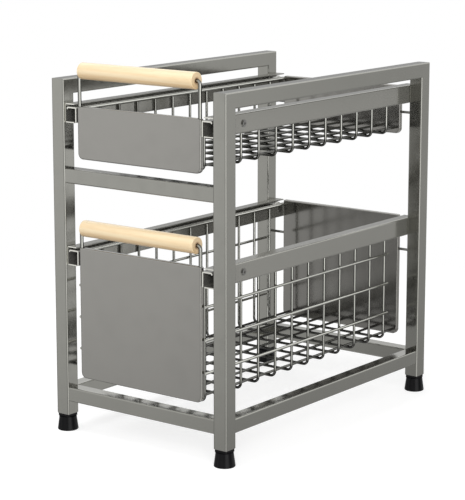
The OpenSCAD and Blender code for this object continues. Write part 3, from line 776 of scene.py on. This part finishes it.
@dataclass
class WireBasket:
    """One basket: welded wires, folded panels, inner runners, rear rollers and handle wire.

    Attributes:
        tier: Which basket it is.
        wire: Finish of the cross wires, the weld beads and the handle wire.
        line: Finish of the wires that run from front to back.
        panel: Finish of the front panel.
        back: Finish of the back panel.
        runner: Finish of the inner runners.
        axle: Finish of the rear pins.
        roller: Finish of the rear rollers.
        trees: The trees that repeat the wires and their weld beads.
        wire_radius: Radius of a wire.
        cross_count: How many cross wires.
        floor_count: How many floor wires.
        rim_count: How many rim wires.
        side_count: How many wires on each side of the deep basket.
        bend: Radius of the cross wires' bends.
        bend_steps: How many straight bits make up a bend.
        sides: How many faces go round a wire.
        soft_end: Length of the short bit at each end of a straight wire.
        floor_bead: Half sizes of a weld bead where a floor wire crosses.
        rim_bead: The same for a rim wire.
        side_bead: The same for a side wire.
        body: Name of the body that the pieces ride on.
    """

    tier: Tier
    wire: bpy.types.Material
    line: bpy.types.Material
    panel: bpy.types.Material
    back: bpy.types.Material
    runner: bpy.types.Material
    axle: bpy.types.Material
    roller: bpy.types.Material
    trees: WireTrees
    wire_radius: float = 0.0015
    cross_count: int = 12
    floor_count: int = 7
    rim_count: int = 2
    side_count: int = 3
    bend: float = 0.006
    bend_steps: int = 12
    sides: int = 20
    soft_end: float = 0.0004
    floor_bead: Point = (0.0014, 0.0014, 0.0006)
    rim_bead: Point = (0.0014, 0.0016, 0.0007)
    side_bead: Point = (0.0006, 0.0014, 0.0014)
    body: str = field(init=False)

    def __post_init__(self) -> None:
        """Names the body that the basket's pieces ride on."""
        self.body = f"{self.tier.value}_basket"

    def node(self, stem: str) -> str:
        """Returns a node's name, made of its stem and the basket's own word."""
        return f"{stem}_{self.tier.value}"

    def keep(self, piece: bpy.types.Object, *nodes: str) -> None:
        """Lets a finished piece ride on the basket and stand for its nodes.

        Args:
            piece: The piece.
            nodes: The nodes that it replaces, if any.
        """
        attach(piece, self.body)
        if nodes:
            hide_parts(*nodes)
        LOG.info("%s: %d faces", piece.name, len(piece.data.polygons))

    def cross_path(self) -> tuple[list[Vector], float]:
        """Works out the first cross wire's line and the step to the next.

        Returns:
            The points of the line and the step along Y.
        """
        low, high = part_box(self.node("cross_wires"))
        r, b = self.wire_radius, self.bend
        side, bottom, first = high.x - r, low.z + r, low.y + r
        right = [Vector((side, first, high.z))]
        for k in range(self.bend_steps + 1):
            turn = math.radians(90 * k / self.bend_steps)
            right.append(Vector((side - b + b * math.cos(turn), first, bottom + b - b * math.sin(turn))))
        left = [Vector((-p.x, p.y, p.z)) for p in reversed(right)]
        return right + left, (high.y - r - first) / (self.cross_count - 1)

    def rods(self, stem: str, count: int, step: Vector, start: Vector, end: Vector) -> bpy.types.Object:
        """Makes a row of straight wires.

        Args:
            stem: The piece's name without the basket's own word.
            count: How many wires.
            step: From one wire to the next.
            start: Where the first wire starts.
            end: Where it ends.

        Returns:
            The piece.
        """
        soft = (end - start).normalized() * self.soft_end
        base = wire_path("line", [start, start + soft, end - soft, end])
        return grow(self.node(stem), self.trees.swept_row, base, {
            "Count": count, "Step": tuple(step), "Wire Radius": self.wire_radius, "Sides": self.sides,
            "Finish": self.line})

    def beads(self, stem: str, start: Vector, grid: tuple[int, Vector, int, Vector], size: Point) -> None:
        """Makes a grid of weld beads.

        Args:
            stem: The piece's name without the basket's own word.
            start: The first bead.
            grid: Count and step one way, then count and step the other way.
            size: Half sizes of a bead.
        """
        base = wire_path("line", [start, start + Vector((0, 0, self.wire_radius))])
        piece = grow(self.node(stem), self.trees.bead_grid, base, {
            "Start": tuple(start), "Count A": grid[0], "Step A": tuple(grid[1]),
            "Count B": grid[2], "Step B": tuple(grid[3]), "Bead Size": size, "Finish": self.wire})
        self.keep(piece)

    def build_wires(self) -> None:
        """Builds the cross, floor, rim and side wires with their weld beads."""
        path, pitch = self.cross_path()
        cross = grow(self.node("cross_wire_mat"), self.trees.swept_row, wire_path("line", path), {
            "Count": self.cross_count, "Step": (0.0, pitch, 0.0), "Wire Radius": self.wire_radius,
            "Sides": self.sides, "Finish": self.wire})
        self.keep(cross, self.node("cross_wires"))
        self.build_row("floor_wires", "floor_wire_row", self.floor_count, path[0].y, pitch, self.floor_bead)
        self.build_row("rim_wires", "rim_wire_pair", self.rim_count, path[0].y, pitch, self.rim_bead)
        if self.tier is Tier.LOWER:
            self.build_side_wires(path[0].y, pitch)

    def build_row(self, source: str, stem: str, count: int, first_y: float, pitch: float, bead: Point) -> None:
        """Builds a flat row of wires on the cross wires, with its weld beads.

        Args:
            source: Stem of the node that the row replaces.
            stem: The row's name without the basket's own word.
            count: How many wires.
            first_y: Where the first cross wire stands.
            pitch: Distance between cross wires.
            bead: Half sizes of a weld bead.
        """
        low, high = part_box(self.node(source))
        r = self.wire_radius
        start = Vector((low.x + r, low.y, low.z + r))
        end = Vector((start.x, high.y, start.z))
        step = Vector(((high.x - low.x - 2 * r) / (count - 1), 0, 0))
        self.keep(self.rods(stem, count, step, start, end), self.node(source))
        grid = (self.cross_count, Vector((0, pitch, 0)), count, step)
        self.beads(source.replace("wires", "welds"), Vector((start.x, first_y, low.z)), grid, bead)

    def build_side_wires(self, first_y: float, pitch: float) -> None:
        """Builds the wires along the outside of the deep basket's sides.

        Args:
            first_y: Where the first cross wire stands.
            pitch: Distance between cross wires.
        """
        r = self.wire_radius
        low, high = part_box(self.node("side_wires"))
        up = Vector((0, 0, (high.z - low.z - 2 * r) / (self.side_count - 1)))
        grid = (self.cross_count, Vector((0, pitch, 0)), self.side_count, up)
        rows = []
        for side in Side:
            word = side.name.lower()
            x = side.value * (high.x - r)
            start = Vector((x, low.y, low.z + r))
            end = Vector((x, high.y, start.z))
            rows.append(self.rods(f"side_wire_row_{word}", self.side_count, up, start, end))
            touch = Vector((side.value * (high.x - 2 * r), first_y, start.z))
            self.beads(f"side_welds_{word}", touch, grid, self.side_bead)
        self.keep(rows[0], self.node("side_wires"))
        self.keep(rows[1])

    def build(self) -> None:
        """Builds the wires and dresses the basket's other nodes."""
        self.build_wires()
        dress(self.node("front_panel"), self.panel)
        dress(self.node("back_panel"), self.back)
        dress(self.node("handle_wire"), self.wire)
        dress(self.node("rear_pins"), self.axle)
        for side in Side:
            word = side.name.lower()
            dress(f"slider_{self.tier.value}_{word}", self.runner)
            dress(f"rear_roller_{self.tier.value}_{word}", self.roller)


@dataclass
class Grip:
    """A turned wooden grip.

    Attributes:
        tier: The basket that it belongs to.
        effects: The shared node groups.
        heart_offset: How far the tree's heart lies off the grip's axis, along Y and Z.
        edge: How much smaller in radius the flat ends are than the grip.
    """

    tier: Tier
    effects: SharedEffects
    heart_offset: tuple[float, float] = (0.021, -0.012)
    edge: float = 0.0006

    def build(self) -> None:
        """Dresses the grip with wood whose heart lies off its axis."""
        node = f"grip_{self.tier.value}"
        low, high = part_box(node)
        middle = (low + high) / 2
        heart = (middle.x, middle.y + self.heart_offset[0], middle.z + self.heart_offset[1])
        end_radius = (high.z - low.z) / 2 - self.edge
        finish = TimberFinish(f"pale_wood_{self.tier.value}", heart, tuple(middle), end_radius)
        dress(node, finish.build(self.effects))


# --------------------------------------------------------------------------- studio


@dataclass(frozen=True)
class Lamp:
    """A soft box that points at the part.

    Attributes:
        name: The lamp's name.
        place: Where it hangs.
        aim: Point that it shines at.
        size: Its width and height.
        power: Its power in watts.
    """

    name: str
    place: Point
    aim: Point
    size: tuple[float, float]
    power: float

    def build(self) -> None:
        """Makes the lamp."""
        light = bpy.data.lights.new(self.name, "AREA")
        light.shape = "RECTANGLE"
        light.size, light.size_y = self.size
        light.energy = self.power
        holder = bpy.data.objects.new(self.name, light)
        holder.location = self.place
        holder.rotation_euler = (Vector(self.aim) - Vector(self.place)).to_track_quat("-Z", "Y").to_euler()
        holder.visible_glossy = False
        bpy.context.scene.collection.objects.link(holder)
        LOG.info("lamp %s", self.name)


@dataclass
class Studio:
    """Pale floor, plain surroundings, soft lamps and the camera.

    Attributes:
        floor_radius: Radius of the floor.
        floor_sides: How many edges go round it.
        floor_tone: Its grey.
        floor_glow: Light that it adds to itself where it is looked at.
        floor_melt: Where it starts and stops melting into the surroundings, in shares of its radius.
        azimuth: Direction of the camera in radians, from the front towards the right.
        elevation: Its height in radians.
        distance: How far it stands from its target.
        target: Point that it looks at.
        lens: Its focal length in millimetres.
        sensor: Width of its sensor in millimetres.
        shift: Its vertical lens shift.
        walls: Brightness that gloss shows in each direction round the part.
        falloff: Share of the walls' brightness at each height.
        canopy: Brightness that gloss shows overhead, at each height.
        canopy_turn: Share of the canopy's brightness in each direction.
        fill: Brightness of the surroundings where matt surfaces gather light.
        lamps: The soft boxes.
    """

    floor_radius: float = 0.9
    floor_sides: int = 96
    floor_tone: float = 0.45
    floor_glow: float = 0.68
    floor_melt: tuple[float, float] = (0.45, 0.98)
    azimuth: float = 0.6554
    elevation: float = 0.1882
    distance: float = 2.1621
    target: Point = (-0.02205, 0.00119, 0.21339)
    lens: float = 135.98
    sensor: float = 36.0
    shift: float = -0.05
    walls: Stops = (
        (-180, 0.64), (-164, 0.58), (-150, 0.42), (-120, 0.42), (-95, 0.38), (-70, 0.3), (-57, 0.35),
        (-47, 0.87), (-37.5, 0.88), (-35.2, 0.64), (-31.5, 0.42), (-26, 0.42), (-14, 0.66), (0, 0.72),
        (20, 0.72), (32, 0.42), (40, 0.38), (50, 2.2), (78, 2.2), (90, 0.7), (102, 0.26), (120, 0.26),
        (130, 0.8), (137, 0.93), (142, 0.66), (148, 0.54), (158, 0.52), (180, 0.64))
    falloff: Stops = (
        (-90, 1.1), (-60, 1.1), (-38, 1.0), (-25, 0.85), (-19.5, 0.54), (-17.5, 0.64), (-15.7, 0.8),
        (-13, 0.9), (-8.5, 1.0), (-6, 1.03), (12, 1.0), (26, 0.0))
    canopy: Stops = (
        (-90, 0.0), (0, 0.0), (9, 0.0), (12, 0.12), (17, 0.7), (26, 1.5), (60, 1.3), (90, 1.2))
    canopy_turn: Stops = (
        (-180, 0.5), (-162, 0.9), (-142, 1.0), (-120, 0.9), (-90, 0.7), (-30, 0.5), (30, 0.5), (90, 0.5),
        (140, 1.0), (160, 1.0), (171, 0.5), (180, 0.5))
    fill: float = 0.6
    lamps: tuple[Lamp, ...] = (
        Lamp("top_box", (-0.4, -0.6, 2.2), (0.0, 0.0, 0.2), (1.2, 1.2), 16.0),
        Lamp("front_box", (1.3, -1.6, 0.9), (0.0, 0.0, 0.2), (1.2, 1.2), 28.0),
    )

    def build_camera(self) -> None:
        """Makes the camera."""
        data = bpy.data.cameras.new("camera")
        data.lens = self.lens
        data.sensor_width = self.sensor
        data.sensor_fit = "AUTO"
        data.shift_y = self.shift
        data.clip_start, data.clip_end = 0.01, 100.0
        back = Vector((math.sin(self.azimuth) * math.cos(self.elevation),
                       -math.cos(self.azimuth) * math.cos(self.elevation), math.sin(self.elevation)))
        camera = bpy.data.objects.new("camera", data)
        camera.location = Vector(self.target) + self.distance * back
        camera.rotation_mode = "QUATERNION"
        camera.rotation_quaternion = (-back).to_track_quat("-Z", "Y")
        bpy.context.scene.collection.objects.link(camera)
        bpy.context.scene.camera = camera

    def build_floor(self) -> None:
        """Makes a round pale floor whose edge melts into the surroundings."""
        mesh = bpy.data.meshes.new("floor")
        disc = bmesh.new()
        bmesh.ops.create_circle(disc, cap_ends=True, segments=self.floor_sides, radius=self.floor_radius)
        disc.to_mesh(mesh)
        disc.free()
        floor = bpy.data.objects.new("floor", mesh)
        bpy.context.scene.collection.objects.link(floor)
        material = bpy.data.materials.new("pale_floor")
        material.use_nodes = True
        sheet = NodeSheet(material.node_tree)
        material.node_tree.nodes.remove(material.node_tree.nodes["Principled BSDF"])
        matt = sheet.add("ShaderNodeBsdfDiffuse", {"Color": (*[self.floor_tone] * 3, 1)})
        rays = sheet.add("ShaderNodeLightPath").outputs
        seen = sheet.maths("MAXIMUM", rays["Is Camera Ray"], rays["Is Transmission Ray"])
        glow = sheet.add("ShaderNodeEmission", {"Strength": sheet.maths("MULTIPLY", seen, self.floor_glow)})
        both = sheet.add("ShaderNodeAddShader", {0: matt.outputs[0], 1: glow.outputs[0]})
        clear = sheet.add("ShaderNodeBsdfTransparent")
        start, stop = (self.floor_radius * share for share in self.floor_melt)
        away = sheet.length(sheet.add("ShaderNodeTexCoord").outputs["Object"])
        edge = sheet.spread(away, start, stop, 0.0, 1.0)
        melt = sheet.add("ShaderNodeMixShader", {0: edge, 1: both.outputs[0], 2: clear.outputs[0]})
        sheet.feed(material.node_tree.nodes["Material Output"], "Surface", melt.outputs[0])
        mesh.materials.append(material)
        floor.visible_glossy = False

    def build_world(self) -> None:
        """Makes the surroundings, plain white with soft boxes and darker walls for gloss to show."""
        world = bpy.data.worlds.new("surroundings")
        world.use_nodes = True
        bpy.context.scene.world = world
        sheet = NodeSheet(world.node_tree)
        background = world.node_tree.nodes["Background"]
        toward = sheet.add("ShaderNodeTexCoord").outputs["Generated"]
        x, y, z = sheet.add("ShaderNodeSeparateXYZ", {0: toward}).outputs
        turn = sheet.maths("ARCTAN2", x, sheet.maths("MULTIPLY", y, -1.0))
        round_share = sheet.spread(turn, -math.pi, math.pi, 0.0, 1.0, smooth=False)
        rise = sheet.maths("ARCSINE", z)
        up_share = sheet.spread(rise, -math.pi / 2, math.pi / 2, 0.0, 1.0, smooth=False)
        level = sheet.maths("MULTIPLY", sheet.steps(round_share, self.walls, 360),
                            sheet.steps(up_share, self.falloff, 180))
        above = sheet.maths("MULTIPLY", sheet.steps(up_share, self.canopy, 180),
                            sheet.steps(round_share, self.canopy_turn, 360))
        gloss = sheet.maths("ADD", level, above)
        rays = sheet.add("ShaderNodeLightPath").outputs
        plain = sheet.maths("ADD", sheet.maths("MULTIPLY", rays["Is Diffuse Ray"], self.fill - 1.0), 1.0)
        inputs = {0: rays["Is Glossy Ray"], 2: plain, 3: gloss}
        strength = sheet.add("ShaderNodeMix", inputs, data_type="FLOAT")
        background.inputs["Color"].default_value = (1, 1, 1, 1)
        sheet.feed(background, "Strength", strength.outputs[0])

    def build(self) -> None:
        """Builds the studio and sets the plain view transform."""
        bpy.context.scene.view_settings.view_transform = "Standard"
        self.build_camera()
        self.build_floor()
        self.build_world()
        for lamp in self.lamps:
            lamp.build()


# Gain of the tone on the outer runners' front ends, a painted highlight, and on the back panels' inner faces,
# painted shade on the lower one.
RUNNER_END_HIGHLIGHT = 2.2
INNER_FACE_SHADE = {Tier.LOWER: 0.77, Tier.UPPER: 1.0}
# Painted shade on a net's foot, round its floor wires: its height, which is also the height of the change above
# it, and its share of the tone.
FOOT_SHADE_BAND = 0.006
FOOT_SHADE_LEVEL = 0.3


def main() -> None:
    """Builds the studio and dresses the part."""
    logging.basicConfig(level=logging.INFO, format="%(name)s: %(message)s")
    Studio().build()
    effects = SharedEffects()
    trees = WireTrees()
    tube = PlatedFinish("tube_steel", (0.361, 0.358, 0.328)).build(effects)
    sheet = PlatedFinish("sheet_steel", (0.365, 0.357, 0.334), roughness=0.14, clouding=0.012, smears=0.03,
                         ripple=0.02)
    # The outer runners' front ends get a painted highlight.
    runner_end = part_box("runner_lower_left")[0].y
    runner = PlatedFinish("runner_steel", (0.336, 0.332, 0.304), metallic=0.75,
                          painted_face=(runner_end, RUNNER_END_HIGHLIGHT)).build(effects)
    # The wires get painted shade at their edges and a painted highlight down their middle.
    wire = PlatedFinish("wire_steel", (0.36, 0.36, 0.332), roughness=0.1, ripple=0.0, relief=0.000001, edge_shade_share=0.12)
    axle = PlatedFinish("zinc_axle", (0.27, 0.268, 0.255), roughness=0.16, scale=90.0).build(effects)
    foot = PlasticFinish("black_foot", (0.004, 0.004, 0.0045), (0.03, 0.03, 0.03), roughness=0.2,
                         shine=0.15).build(effects)
    roller = PlasticFinish("nylon_roller", (0.74, 0.74, 0.70), (0.5, 0.48, 0.44), roughness=0.42).build(effects)
    Carcass(tube, runner, wire.build(effects), axle, foot, roller).build()
    for tier in Tier:
        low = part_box(f"cross_wires_{tier.value}")[0].z
        # Painted shade on the foot of this net.
        foot_shade = (low + FOOT_SHADE_BAND, FOOT_SHADE_BAND, FOOT_SHADE_LEVEL)
        net = replace(wire, name=f"net_steel_{tier.value}", foot_shade=foot_shade)
        # The front-to-back wires get a narrower painted edge shade and a stronger painted highlight.
        line = replace(net, name=f"line_steel_{tier.value}", edge_shade_band=(0.42, 0.7), centre_highlight_gain=1.6)
        # The lower back panel's inner face gets painted shade.
        inner_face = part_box(f"back_panel_{tier.value}")[0].y
        back = replace(sheet, name=f"back_sheet_{tier.value}", painted_face=(inner_face, INNER_FACE_SHADE[tier]))
        WireBasket(tier, net.build(effects), line.build(effects), sheet.build(effects), back.build(effects),
                   runner, axle, roller, trees).build()
        Grip(tier, effects).build()
    bpy.context.view_layer.update()


if __name__ == "__main__":
    main()
